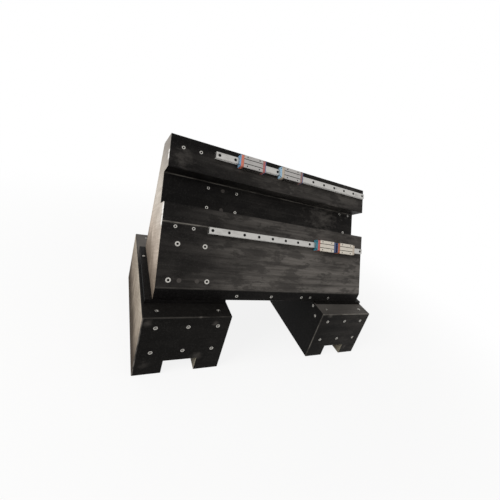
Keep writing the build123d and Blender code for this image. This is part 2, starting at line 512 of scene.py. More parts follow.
    def sawn_colour(self, surface: Surface) -> Socket:
        """Dry sawn stone: pale, with the saw's slanting marks, a darker foot of painted shade and fresh
        strips.

        Args:
            surface: The surface to paint.

        Returns:
            The colour.
        """
        saw_slant, fade = 28.0, 6 * MM
        turn = {"Rotation": (np.radians(saw_slant), 0.0, 0.0)}
        slanted = add_node(surface.tree, "Mapping", turn, {"Vector": surface.place}).outputs[0]
        marks = surface.mottle((500, 130, 7), slanted, Detail=7.0, Roughness=0.65, Distortion=0.3)
        clouds = surface.mottle((200, 70, 90), Detail=5.0, Distortion=0.6)
        ragged = surface.spot[2] + (clouds - 0.5) * 0.12
        # The ramp by height makes the foot darker: painted shade.
        tone_with_painted_light = surface.ramp(ragged, [(z, linear_colour(code)) for z, code in self.sawn.tones_with_foot_shade])
        dim = (marks * 0.6 + clouds * 0.4).step(0.62, 0.38, 0.3)
        tone_with_painted_light = surface.blend(dim, tone_with_painted_light, self.saw_shade)
        if self.sawn.fresh:
            rise, out = self.slope(surface)
            strips = [rise.step(low, low + fade) * rise.step(top, top - fade) for low, top in self.sawn.fresh]
            fresh = reduce(Value.larger, strips) * out.step(-30 * MM, -14 * MM)
            tone_with_painted_light = surface.blend(fresh * marks.step(0.34, 0.5, 0.85), tone_with_painted_light, self.fresh_stone)
        return tone_with_painted_light

    def slope(self, surface: Surface) -> tuple[Value, Value]:
        """Distance up the leaning face and out of it.

        Args:
            surface: The surface to paint.

        Returns:
            Both distances in metres.
        """
        lean = np.radians(LEAN)
        sine, cosine = float(np.sin(lean)), float(np.cos(lean))
        back = surface.spot[1] - self.face_start[0]
        up = surface.spot[2] - self.face_start[1]
        return back * sine + up * cosine, up * sine - back * cosine


@dataclass(frozen=True)
class GroundSteel(Finish):
    """Bearing steel, hardened and ground: bright, with fine grinding lines along X.

    Attributes:
        line: Spacing of the grinding lines in millimetres. Real ones are finer and wouldn't show.
        dull: Colour of the duller patches left by oil and handling.
        groove_shade: Colour painted in the grooves as shade.
        grooves: Y and Z of long grooves that are painted dark as shade.
        groove_half: Half the width of the stripe of painted shade.
    """

    line: float = 0.6
    dull: str = "#6f6c66"
    groove_shade: str = "#0c0a08"
    grooves: tuple[tuple[float, float], ...] = ()
    groove_half: float = 1.25 * MM

    def paint(self, surface: Surface) -> None:
        """Grinding lines vary the roughness, oil clouds the colour, and grooves are painted dark as shade.

        Args:
            surface: The surface to paint.
        """
        lines = surface.mottle((90, self.line, self.line), Detail=2.0, Roughness=0.5)
        clouds = surface.mottle((45, 20, 20), Detail=5.0)
        colour = surface.blend(clouds.step(0.5, 0.78, 0.5), self.colour, self.dull)
        # Painted shade: a dark stripe along each groove.
        for y, z in self.grooves:
            gap = surface.distance((0.0, y, z), "yz")
            inside = gap.step(self.groove_half + 0.35 * MM, self.groove_half, 0.97)
            colour = surface.blend(inside, colour, self.groove_shade)
        surface.fill(colour, lines * 0.22 + (self.roughness - 0.11))
        surface.emboss(lines, 0.04, 0.6)


@dataclass(frozen=True)
class TurnedSteel(Finish):
    """Stainless steel faced on a lathe: bright, with a little cutting oil left in its marks."""

    def paint(self, surface: Surface) -> None:
        """Fine grain with brighter and duller spots.

        Args:
            surface: The surface to paint.
        """
        grain = surface.mottle((0.9, 0.9, 0.9), Detail=4.0)
        colour = surface.blend(grain.step(0.42, 0.7, 0.45), self.colour, "#77736c")
        surface.fill(colour, grain * 0.2 + self.roughness)
        surface.emboss(grain, 0.03, 0.5)


@dataclass(frozen=True)
class Moulded(Finish):
    """Glass filled polymer moulding or rubber: semi matt, with a spark eroded texture and scuffed tops.

    Attributes:
        scuff: Colour of rubbed and dusty spots.
        grain: Size of the mould texture in millimetres.
    """

    scuff: str = "#d8c9bd"
    grain: float = 0.5

    def paint(self, surface: Surface) -> None:
        """Even colour with rubbed spots over a fine mould texture.

        Args:
            surface: The surface to paint.
        """
        spots = surface.mottle((8, 6, 6), Detail=6.0, Roughness=0.65)
        colour = surface.blend(spots.step(0.5, 0.8, 0.4), self.colour, self.scuff)
        surface.fill(colour, spots * 0.2 + self.roughness)
        surface.emboss(surface.mottle((self.grain, self.grain, self.grain), Detail=2.0), 0.05, 0.5)


@dataclass(frozen=True)
class BlackOxide(Finish):
    """Alloy steel with a black oxide coat: dull black, worn brown where a key has turned it."""

    def paint(self, surface: Surface) -> None:
        """Near black with brownish rub marks.

        Args:
            surface: The surface to paint.
        """
        rub = surface.mottle((3, 3, 3), Detail=5.0)
        colour = surface.blend(rub.step(0.55, 0.8, 0.5), self.colour, "#3b342d")
        surface.fill(colour, rub * 0.25 + self.roughness)


@dataclass
class Shell:
    """Points and faces of a piece before it becomes a mesh.

    Attributes:
        points: Array of N by 3, in metres.
        faces: Vertex numbers of each face, counter clockwise from outside.
    """

    points: np.ndarray
    faces: list[list[int]]

    @staticmethod
    def joined(shells: Iterable["Shell"]) -> "Shell":
        """Several shells as one.

        Args:
            shells: The shells to join.

        Returns:
            One shell with all their faces.
        """
        points, faces, start = [], [], 0
        for shell in shells:
            points.append(shell.points)
            faces += [[start + i for i in face] for face in shell.faces]
            start += len(shell.points)
        return Shell(np.vstack(points), faces)


@dataclass(frozen=True)
class Seat:
    """A place on the stage: a point, the axis that points out of it, and a direction across.

    Attributes:
        point: The place in metres.
        out: Unit vector out of the surface.
        across: Unit vector along the surface.
    """

    point: Triple
    out: Triple
    across: Triple = (1.0, 0.0, 0.0)

    def axes(self) -> np.ndarray:
        """Rows of the across, up and out directions."""
        out, across = np.array(self.out), np.array(self.across)
        return np.array([across, np.cross(out, across), out])

    def placed(self, local: np.ndarray) -> np.ndarray:
        """Local points across, up and out of this seat, in the stage's frame."""
        return local @ self.axes() + np.array(self.point)

    def lifted(self, height: float) -> "Seat":
        """The same seat that far out along its axis."""
        return Seat(tuple(self.placed(np.array([0.0, 0.0, height]))), self.out, self.across)

    def turned(self, profile: list[tuple[float, float]], first: bool = False, last: bool = False) -> Shell:
        """A profile of radius and height turned round this seat, closed at the ends asked for."""
        return lofted(self.placed(np.array([circle(r, h) for r, h in profile])), first, last)


def lofted(rings: np.ndarray, first_cap: bool = True, last_cap: bool = True) -> Shell:
    """Skins a stack of rings: ring i joins ring i + 1, quad by quad.

    Args:
        rings: Array of rings by points by 3, each ring counter clockwise seen from the last ring.
        first_cap: Whether the first ring is closed by a face.
        last_cap: Whether the last ring is closed by a face.

    Returns:
        The skin.
    """
    count, size, _ = rings.shape
    number = np.arange(count * size).reshape(count, size)
    below, above = number[:-1], number[1:]
    quads = np.stack([below, np.roll(below, -1, 1), np.roll(above, -1, 1), above], -1).reshape(-1, 4)
    faces = quads.tolist()
    if first_cap:
        faces.append(number[0][::-1].tolist())
    if last_cap:
        faces.append(number[-1].tolist())
    return Shell(rings.reshape(-1, 3), faces)


def circle(radius: float | np.ndarray, height: float) -> np.ndarray:
    """A ring of points, counter clockwise from above: radius times cosine and sine of the turn."""
    across, up = radius * np.cos(RING_TURN), radius * np.sin(RING_TURN)
    return np.stack([across, up, np.full(len(RING_TURN), height)], -1)


def hexagon(flats: float, height: float) -> np.ndarray:
    """A ring on a hexagon: half the flats over the cosine of the angle from a flat's middle."""
    from_flat = (RING_TURN + np.pi / 6) % (np.pi / 3) - np.pi / 6
    return circle(flats / 2 / np.cos(from_flat), height)


def rounded_loop(corners: list[Triple]) -> np.ndarray:
    """A closed outline with round corners.

    Each corner's arc is a quadratic curve between the points where it leaves its two sides:
    (1 - t)^2 start + 2 t (1 - t) corner + t^2 end.

    Args:
        corners: Across, up and corner radius, counter clockwise.

    Returns:
        Array of points by 2.
    """
    spots = np.array([c[:2] for c in corners], float)
    radii = np.array([c[2] for c in corners], float)[:, None]
    before = np.roll(spots, 1, 0) - spots
    after = np.roll(spots, -1, 0) - spots
    before /= np.linalg.norm(before, axis=1, keepdims=True)
    after /= np.linalg.norm(after, axis=1, keepdims=True)
    start, end = spots + before * radii, spots + after * radii
    t = np.linspace(0, 1, CORNER_POINTS)[None, :, None]
    arcs = (1 - t) ** 2 * start[:, None] + 2 * t * (1 - t) * spots[:, None] + t**2 * end[:, None]
    return arcs.reshape(-1, 2)


def drawn_in(loop: np.ndarray, amount: float) -> np.ndarray:
    """The loop with each point moved inwards along its normal.

    Args:
        loop: Points by 2, counter clockwise.
        amount: Distance in the loop's units.

    Returns:
        The smaller loop.
    """
    ahead = np.roll(loop, -1, 0) - loop
    behind = loop - np.roll(loop, 1, 0)
    unit = [v / np.maximum(np.linalg.norm(v, axis=1, keepdims=True), 1e-9) for v in (ahead, behind)]
    tangent = unit[0] + unit[1]
    tangent /= np.maximum(np.linalg.norm(tangent, axis=1, keepdims=True), 1e-9)
    inward = np.stack([-tangent[:, 1], tangent[:, 0]], -1)
    return loop + inward * amount


def make_piece(name: str, shell: Shell, finish: Finish, body: str, stands_for: str = "") -> None:
    """Makes the object of a piece and lets it ride on its body.

    Args:
        name: The piece's name.
        shell: Its points and faces.
        finish: Its finish.
        body: The CAD body that carries it.
        stands_for: The CAD node that it replaces, if any.
    """
    mesh = bpy.data.meshes.new(name)
    mesh.from_pydata(shell.points.tolist(), [], shell.faces)
    mesh.polygons.foreach_set("use_smooth", np.ones(len(mesh.polygons), bool))
    mesh.set_sharp_from_angle(angle=np.radians(SMOOTH_UNDER))
    mesh.materials.append(finish.material())
    mesh.update()
    made = bpy.data.objects.new(name, mesh)
    bpy.context.scene.collection.objects.link(made)
    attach(made, body)
    if stands_for:
        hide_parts(stands_for)
    LOG.info("%s: %d faces, rides on %s", name, len(mesh.polygons), body)


def dress(node: str, finish: Finish) -> None:
    """Gives a CAD node its finish.

    Args:
        node: The node's name.
        finish: Its finish.
    """
    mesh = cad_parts[node].data
    mesh.materials.clear()
    mesh.materials.append(finish.material())
    LOG.info("%s: dressed with %s", node, finish.name)


@dataclass(frozen=True)
class Insert:
    """A threaded steel insert bonded flush into the stone.

    Attributes:
        outer: Radius of the insert.
        thread: Radius of the thread's roots, the bore in the stone.
        pitch: Pitch of the thread.
        turns: How many turns of thread show.
    """

    outer: float
    thread: float
    pitch: float
    turns: int = 7

    def ring(self, seat: Seat) -> Shell:
        """The insert's face, a flat ring with a small round at its rim.

        Args:
            seat: Where the insert sits.

        Returns:
            The ring.
        """
        lip, rim, sunk = 0.15 * MM, 0.3 * MM, 0.1 * MM
        profile = [(self.outer, -sunk), (self.outer, lip * 0.6), (self.outer - rim, lip)]
        profile += [(self.thread + rim, lip), (self.thread + rim / 2, lip * 0.7)]
        return seat.turned(profile)

    def bore(self, seat: Seat) -> Shell:
        """The chamfer and the thread below it: crests and roots down to a flat bottom.

        Args:
            seat: Where the insert sits.

        Returns:
            The lining of the bore.
        """
        start, sink = 0.1 * MM, 0.5 * MM
        root, crest = self.thread - 0.03 * MM, self.thread - 0.6 * MM
        profile = [(self.thread + 0.15 * MM, start), (root, -sink)]
        for i in range(self.turns):
            profile += [(crest, -sink - (i + 0.5) * self.pitch), (root, -sink - (i + 1) * self.pitch)]
        return seat.turned(profile, last=True)

    def bond(self, seat: Seat) -> Shell:
        """The dark line of resin around the insert, a low ring on the stone.

        Args:
            seat: Where the insert sits.

        Returns:
            The ring.
        """
        width, height = 0.9 * MM, 0.06 * MM
        profile = [(self.outer + width, -0.1 * MM), (self.outer + width - 0.2 * MM, height)]
        profile.append((self.outer - 0.1 * MM, height))
        return seat.turned(profile)


@dataclass(frozen=True)
class CapScrew:
    """Socket head cap screw, of which only the head shows.

    Attributes:
        head: Radius of the head.
        height: Height of the head.
        key: Width of the hexagon socket over its flats.
    """

    head: float
    height: float
    key: float

    def shell(self, seat: Seat, sunk: float = 0.0) -> Shell:
        """The head, its foot at the seat.

        Args:
            seat: Where the head rests.
            sunk: How much of its height is left out at the foot.

        Returns:
            The head with its chamfer, socket and socket floor.
        """
        edge = min(self.head * 0.07, self.height * 0.25)
        rings = [
            circle(self.head, sunk),
            circle(self.head, self.height - edge),
            circle(self.head - edge, self.height),
            circle(self.key * 0.68, self.height),
            hexagon(self.key, self.height - edge * 0.8),
            hexagon(self.key, self.height * 0.45),
            circle(self.key * 0.2, self.height * 0.4),
        ]
        return lofted(seat.placed(np.array(rings)))


# Stainless insert faced on a lathe: a bright ring that catches the room.
TURNED = TurnedSteel("turned_stainless_insert", "#bdbab4", 0.3, 1.0)
# The same steel with a tap run through it, painted darker as shade because its flanks face each other.
HALF_SHADED_THREAD = TurnedSteel("cut_steel_thread_painted_shade", "#8a8782", 0.4, 1.0)
# A deep bore painted nearly black as the shade inside it.
SHADED_BORE = BlackOxide("bore_painted_shade", "#0a0908", 0.6, 0.0, 0.1)
# Epoxy wiped level round an insert: a thin dark line.
RESIN = BlackOxide("epoxy_bond_line", "#0d0c0a", 0.5, 0.0, 0.2)
# Cap screws with a black oxide coat.
SCREW_BLACK = BlackOxide("black_oxide_screw", "#0c0b0a", 0.45, 0.0, 0.2)
SMALL = Insert(5.7 * MM, 3.0 * MM, 1.0 * MM)
MEDIUM = Insert(6.5 * MM, 4.0 * MM, 1.25 * MM)
LARGE = Insert(8.5 * MM, 4.0 * MM, 1.25 * MM)


def set_inserts(name: str, kind: Insert, seats: list[Seat], slot: str, thread: Finish) -> None:
    """Sets a group of inserts: bright faces, threads and the resin round them.

    Args:
        name: First part of the pieces' names.
        kind: Their size.
        seats: Where they sit.
        slot: The record's slot of the stone round them. Not used.
        thread: The finish of their threads, painted darker than the rings as the shade in the bore.
    """
    parts = (
        ("rings", kind.ring, TURNED, "rail_steel"),
        ("threads", kind.bore, thread, "rail_steel"),
        ("bonds", kind.bond, RESIN, slot),
    )
    for part, shape, finish, part_slot in parts:
        make_piece(f"{name}_insert_{part}", Shell.joined(map(shape, seats)), finish, STAND)


@dataclass
class Leg:
    """One granite leg with its inserts.

    Attributes:
        node: The leg's CAD node.
        across: Distance between columns of inserts.
        low: Height of the lower row in front.
        up: Distance between the two rows.
        inset: Distance of the top inserts from the front and back.
        side_places: Inserts in the inner side: distance from the front, and height.
    """

    node: str
    across: float = 100 * MM
    low: float = 95 * MM
    up: float = 100 * MM
    inset: float = 37 * MM
    side_places: tuple[tuple[float, float], ...] = ()

    def seats(self) -> list[Seat]:
        """Finds where the inserts sit.

        Returns:
            Two rows of three in front, four on top and any in the side.
        """
        low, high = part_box(self.node)
        middle = (low.x + high.x) / 2
        seats = [
            Seat((middle + i * self.across, low.y, self.low + row * self.up), (0, -1, 0))
            for i in (-1, 0, 1)
            for row in (0, 1)
        ]
        seats += [
            Seat((middle + i * self.across, y, high.z), (0, 0, 1))
            for i in (-1, 1)
            for y in (low.y + self.inset, high.y - self.inset)
        ]
        seats += [Seat((low.x, low.y + y, z), (-1, 0, 0), (0, 1, 0)) for y, z in self.side_places]
        return seats

    def build(self, finish: Finish) -> None:
        """Dresses the leg with its stone and sets its inserts."""
        dress(self.node, finish)
        # The threads are painted darker than the rings as half shade in the bores.
        set_inserts(self.node, MEDIUM, self.seats(), "leg_granite", HALF_SHADED_THREAD)


@dataclass
class Pads:
    """The two spacer pads, each with a screw on its bare strip.

    Attributes:
        screw: Head of the screws.
        places: X and Y of each screw.
    """

    screw: CapScrew = CapScrew(5 * MM, 3 * MM, 5 * MM)
    places: tuple[tuple[float, float], ...] = ((-472 * MM, 63 * MM), (466 * MM, -211 * MM))

    def build(self, finish: Finish) -> None:
        """Dresses the pads with their stone."""
        dress("left_pad", finish)
        dress("right_pad", finish)

    def set_screws(self) -> None:
        """Sets the screws on the bare strips."""
        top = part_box("left_pad")[1].z
        heads = [self.screw.shell(Seat((x, y, top), (0, 0, 1)), 0.05 * MM) for x, y in self.places]
        make_piece("pad_screws", Shell.joined(heads), TURNED, STAND)


@dataclass
class LeaningFace:
    """Coordinates on the beam's leaning front.

    Attributes:
        lean: Angle between the face and the vertical, in degrees.
        strip: Height of the upright strip below it.
        start: Left end of the face's foot.
        up: Unit vector up the slope.
        out: Unit vector out of the face.
    """

    lean: float = LEAN
    strip: float = 46 * MM
    start: Vector = field(init=False)
    up: np.ndarray = field(init=False)
    out: np.ndarray = field(init=False)

    def __post_init__(self) -> None:
        """Finds the face from the beam's box."""
        low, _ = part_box("cross_beam")
        self.start = Vector((low.x, low.y, low.z + self.strip))
        angle = np.radians(self.lean)
        self.up = np.array([0.0, np.sin(angle), np.cos(angle)])
        self.out = np.array([0.0, -np.cos(angle), np.sin(angle)])

    def seat(self, along: float, rise: float, out: float = 0.0) -> Seat:
        """A place so far from the beam's left end, up the slope and out of the face."""
        point = np.array(self.start) + np.array([along, 0, 0]) + rise * self.up + out * self.out
        return Seat(tuple(point), tuple(self.out))


@dataclass
class Beam:
    """The cross beam with its inserts and plugs. Places are in millimetres from its left end.

    Attributes:
        face: Its leaning front.
        channel: Height of the floor of the channel between the rails, below the face.
        strip_rise: Height of the inserts in the upright strip.
        strip_places: Where those are.
        bracket_places: Large inserts in the rail face, with their rise.
        spare_places: Small inserts left of each rail, with their rise.
        channel_places: Small inserts in the channel's floor, with their rise.
        plug_places: Filled holes, with rise and height over the face.
    """

    face: LeaningFace
    channel: float = -74
    strip_rise: float = 19
    strip_places: tuple[float, ...] = (285, 432.5, 580, 626, 727.5)
    bracket_places: tuple = ((55, 148.5), (147, 148.5), (37.5, 26), (164.5, 26))
    spare_places: tuple = ((42.5, 206.5), (102.5, 206.5), (42.5, 482.5), (102.5, 482.5))
    channel_places: tuple = tuple((x, rise) for rise in (305, 382) for x in (159.5, 273.5)) + (
        (822.5, 396),
        (879.5, 396),
        (851, 305),
    )
    plug_places: tuple = ((71.5, 26, 0), (130.5, 26, 0), (216.5, 305, -74), (216.5, 382, -74))

    def seats(self, places: Iterable[tuple[float, ...]]) -> list[Seat]:
        """Seats at distance from the left end, rise and height over the face, in millimetres."""
        return [self.face.seat(*(number * MM for number in place)) for place in places]

    def build(self, finish: Finish) -> None:
        """Dresses the beam and sets its inserts and plugs.

        Args:
            finish: The stone's finish.
        """
        dress("cross_beam", finish)
        low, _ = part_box("cross_beam")
        height = low.z + self.strip_rise * MM
        small = [Seat((low.x + x * MM, low.y, height), (0, -1, 0)) for x in self.strip_places]
        small += self.seats(self.spare_places)
        small += self.seats((*place, self.channel) for place in self.channel_places)
        large = self.seats(self.bracket_places)
        # The beam's insert threads are painted near black as the shade in the bores.
        set_inserts("beam_small", SMALL, small, "beam_granite", SHADED_BORE)
        set_inserts("beam_large", LARGE, large, "beam_granite", SHADED_BORE)
        plugs = Shell.joined(map(self.plug, self.seats(self.plug_places)))
        # Epoxy with stone powder, cast and rubbed down: matt and a little paler than the stone.
        plug_finish = Moulded("filled_epoxy_plug", "#474340", 0.6, 0.0, 0.1, scuff="#625d58")
        make_piece("hole_plugs", plugs, plug_finish, STAND)

    @staticmethod
    def plug(seat: Seat) -> Shell:
        """A resin plug rubbed almost level with the stone: a flat dome of circles."""
        profile = [(7.5, -0.1), (7.5, 0.05), (7.0, 0.1), (4.0, 0.14), (0.6, 0.15)]
        return seat.turned([(r * MM, h * MM) for r, h in profile], True, True)


@dataclass
class Rail:
    """One profile rail with its screws.

    Attributes:
        node: Its CAD node.
        face: The beam's leaning front.
        rise: Distance of its middle up the slope.
        first: Distance of its first hole from the beam's left end.
        pitch: Distance between holes.
        holes: How many it has.
        height: Height of the rail.
        mouth: Depth of a counterbore over the screw's head.
        radius: Radius of the counterbores.
    """

    node: str
    face: LeaningFace
    rise: float
    first: float = 162.5 * MM
    pitch: float = 60 * MM
    holes: int = 13
    height: float = 22 * MM
    mouth: float = 3 * MM
    radius: float = 5.5 * MM

    def shaded_lining(self, seat: Seat) -> Shell:
        """The wall and floor of a counterbore, a thin near black lining turned towards its axis that paints
        the shade inside.

        Args:
            seat: Where the counterbore sits.

        Returns:
            The lining.
        """
        wall, floor = self.radius - 0.02 * MM, 0.06 * MM - self.mouth
        profile = [(wall, -0.2 * MM), (wall, floor), (4.5 * MM, floor)]
        return seat.turned(profile, last=True)

    def build(self, finish: Finish) -> None:
        """Dresses the rail, lines each counterbore with painted shade and puts a screw head in it.

        Args:
            finish: The rail's finish.
        """
        dress(self.node, finish)
        screw = CapScrew(5 * MM, 0.4 * MM, 5 * MM)
        places = [self.first + i * self.pitch for i in range(self.holes)]
        mouths = [self.face.seat(place, self.rise, self.height) for place in places]
        # Near black linings paint the shade in the counterbores.
        shaded_linings = Shell.joined(map(self.shaded_lining, mouths))
        make_piece(f"{self.node}_counterbores", shaded_linings, SHADED_BORE, STAND)
        heads = Shell.joined(screw.shell(mouth.lifted(-self.mouth), 0.05 * MM) for mouth in mouths)
        make_piece(f"{self.node}_screw_heads", heads, SCREW_BLACK, STAND)


@dataclass
class Look:
    """Colours of one carriage's end caps and seals, as hex codes."""

    left_cap: str
    right_cap: str
    left_seal: str
    right_seal: str


@dataclass
class Carriage:
    """One carriage: steel body, moulded end caps, seal plates and their screws.

    Attributes:
        name: First part of its nodes' names.
        face: The beam's leaning front.
        at: Distance of its middle from the beam's left end.
        rise: Distance of its middle up the slope.
        look: Its colours.
        block: Length of the steel body.
        cap: Length of a cap.
        seal: Thickness of a seal.
        cap_step: How much smaller than the body a cap is all round.
        seal_step: The same for a seal.
        groove_off: Distance of the long grooves from the middle.
        cap_screw_off: Distance of the cap's screws from the middle.
        cap_screw_rise: Their height over the face.
        tap_along: Distance of the tapped holes from the middle along the rail.
        tap_across: Their distance across it.
        width: Width of the body.
        top: Height of its top over the face.
        foot: Height of its underside.
        rail_half: Half the rail's width.
        rail_top: Height of the rail.
        ball_rises: Heights of the ball rows over the face.
        ball_radius: Radius of the balls with their clearance.
        ball_side: Distance of the balls' middles outside the rail's flank.
    """

    name: str
    face: LeaningFace
    at: float
    rise: float
    look: Look
    block: float = 78.6 * MM
    cap: float = 10.5 * MM
    seal: float = 2.5 * MM
    cap_step: float = 0.5 * MM
    seal_step: float = 1.0 * MM
    groove_off: float = 8.7 * MM
    cap_screw_off: float = 17 * MM
    cap_screw_rise: float = 29 * MM
    tap_along: float = 25 * MM
    tap_across: float = 17.5 * MM
    width: float = 48 * MM
    top: float = 36 * MM
    foot: float = 5.5 * MM
    rail_half: float = 11.5 * MM
    rail_top: float = 22 * MM
    ball_rises: tuple[float, float] = (10.3 * MM, 17.9 * MM)
    ball_radius: float = 2.476 * MM
    ball_side: float = 0.45 * MM

    def outline(self, step: float, gap: float, corner: float) -> np.ndarray:
        """Outline across the carriage that bridges the rail.

        Args:
            step: How much smaller than the steel body all round.
            gap: Clearance over the rail.
            corner: Radius of the outer top corners.

        Returns:
            Points across and out of the face, counter clockwise seen from the right.
        """
        half, top, foot = self.width / 2 - step, self.top - step, self.foot + step
        inner, roof = self.rail_half + gap, self.rail_top + gap
        small, shoulder, side_round, slant = 1.1 * MM, 6 * MM, 2.5 * MM, 2.2 * MM
        corners = [
            (-half, foot, small),
            (-inner, foot, small * 0.5),
            (-inner, roof, small),
            (inner, roof, small),
            (inner, foot, small * 0.5),
            (half, foot, small),
            (half, top - shoulder, side_round),
            (half - slant, top, corner),
            (-half + slant, top, corner),
            (-half, top - shoulder, side_round),
        ]
        return rounded_loop(corners)

    def seal_outline(self, step: float, gap: float) -> np.ndarray:
        """Outline of the seal plate, whose opening follows the rail, with an arc round each ball track.

        Args:
            step: How much smaller than the steel body all round.
            gap: Clearance of the lip round the rail.

        Returns:
            Points across and out of the face, counter clockwise seen from the right.
        """
        outer = self.outline(step, gap, 1.6 * MM)
        left, shell = outer[:CORNER_POINTS], outer[CORNER_POINTS * 5 :]
        wall, radius = self.rail_half + gap, self.ball_radius - gap
        centre = self.rail_half + self.ball_side
        reach = np.sqrt(radius**2 - (centre - wall) ** 2)
        spread = np.arctan2(reach, centre - wall)
        angle = np.linspace(-spread, spread, 9)
        right = [np.array([[wall, self.foot + step]])]
        for rise in self.ball_rises:
            right.append(np.stack([centre - radius * np.cos(angle), rise + radius * np.sin(angle)], -1))
        right.append(np.array([[wall, self.rail_top + gap]]))
        side = np.vstack(right)
        mirrored = side * np.array([-1.0, 1.0])
        return np.vstack([left, mirrored, side[::-1], shell])

    def plate(self, loop: np.ndarray, start: float, thickness: float, edge: float) -> Shell:
        """A plate with that outline and rounded rims, its rings drawn in at both faces.

        Args:
            loop: Its outline.
            start: Distance of its left face from the beam's left end.
            thickness: Its thickness along the beam.
            edge: Radius of its rims.

        Returns:
            The closed plate.
        """
        turn = np.linspace(0, np.pi / 2, 4)
        drop, back = edge * (1 - np.sin(turn)), edge * (1 - np.cos(turn))
        drops = np.concatenate([drop, drop[::-1]])
        places = np.concatenate([back, thickness - back[::-1]])
        rings = [
            np.column_stack([drawn_in(loop, d), np.full(len(loop), p)]) for d, p in zip(drops, places)
        ]
        origin = np.array(self.face.seat(start, self.rise).point)
        axes = np.array([self.face.up, self.face.out, [1.0, 0.0, 0.0]])
        return lofted(np.array(rings) @ axes + origin)

    def groove_lines(self) -> tuple[tuple[float, float], ...]:
        """Finds the two long grooves in the top.

        Returns:
            Y and Z of each.
        """
        height = self.top - 0.5 * MM
        rises = [self.rise + side * self.groove_off for side in (-1, 1)]
        return tuple(self.face.seat(self.at, rise, height).point[1:] for rise in rises)

    def end_screws(self, place: float, end: End) -> Shell:
        """The flat heads of the M3 screws that hold a seal and cap to the body.

        Args:
            place: Distance of the seal's outer face from the beam's left end.
            end: Which end it is.

        Returns:
            The two heads.
        """
        screw = CapScrew(2.7 * MM, 0.4 * MM, 2 * MM)
        heads = []
        for side in (-1, 1):
            point = self.face.seat(place, self.rise + side * self.cap_screw_off, self.cap_screw_rise).point
            heads.append(screw.shell(Seat(point, (float(end.value), 0, 0), tuple(self.face.up)), -0.2 * MM))
        return Shell.joined(heads)

    def build_end(self, end: End, cap_colour: str, seal_colour: str) -> None:
        """Builds the cap, the seal and the screws of one end.

        Args:
            end: Which end it is.
            cap_colour: The cap's colour.
            seal_colour: The seal's colour.
        """
        way, side = end.value, end.name.lower()
        body = f"{self.name}_carriage"
        cap_start = self.at + (self.block / 2 if way > 0 else -self.block / 2 - self.cap)
        seal_start = self.at + way * (self.block / 2 + self.cap) - (0 if way > 0 else self.seal)
        outer = self.at + way * (self.block / 2 + self.cap + self.seal)
        screws = self.end_screws(outer, end)
        make_piece(f"{self.name}_{side}_screws", screws, SCREW_BLACK, body)

        # Glass filled nylon from the mould: an even colour with a fine grain and rubbed corners.
        cap_finish = Moulded(f"moulded_cap_{cap_colour[1:]}", cap_colour, 0.42)
        cap = self.plate(self.outline(self.cap_step, 1.1 * MM, 1.8 * MM), cap_start, self.cap, 0.35 * MM)
        node = f"{self.name}_end_caps"
        make_piece(f"{self.name}_{side}_cap", cap, cap_finish, body, stands_for=node)

        # Nitrile rubber on a steel plate: matt, and greyed by dust.
        seal_finish = Moulded(f"nitrile_seal_{seal_colour[1:]}", seal_colour, 0.5, scuff="#b4c2cb")
        seal = self.plate(self.seal_outline(self.seal_step, 0.3 * MM), seal_start, self.seal, 0.2 * MM)
        node = f"{self.name}_end_seals"
        make_piece(f"{self.name}_{side}_seal", seal, seal_finish, body, stands_for=node)

    def build(self, steel: Finish) -> None:
        """Dresses the body and its balls, and builds the ends and the tapped holes.

        Args:
            steel: The body's finish.
        """
        dress(f"{self.name}_block", steel)
        dress(f"{self.name}_ball_rows", GroundSteel("bearing_ball_steel", "#b9b9b8", 0.12, 1.0))
        self.build_end(End.LEFT, self.look.left_cap, self.look.left_seal)
        self.build_end(End.RIGHT, self.look.right_cap, self.look.right_seal)
        taps = [
            self.face.seat(self.at + i * self.tap_along, self.rise + j * self.tap_across, self.top)
            for i in (-1, 1)
            for j in (-1, 1)
        ]
        tap = Insert(3.2 * MM, 2.5 * MM, 1.0 * MM, 5)
        # The tapped holes are painted near black as the shade inside them.
        threads = Shell.joined(tap.bore(seat) for seat in taps)
        make_piece(f"{self.name}_tapped_holes", threads, SHADED_BORE, f"{self.name}_carriage")


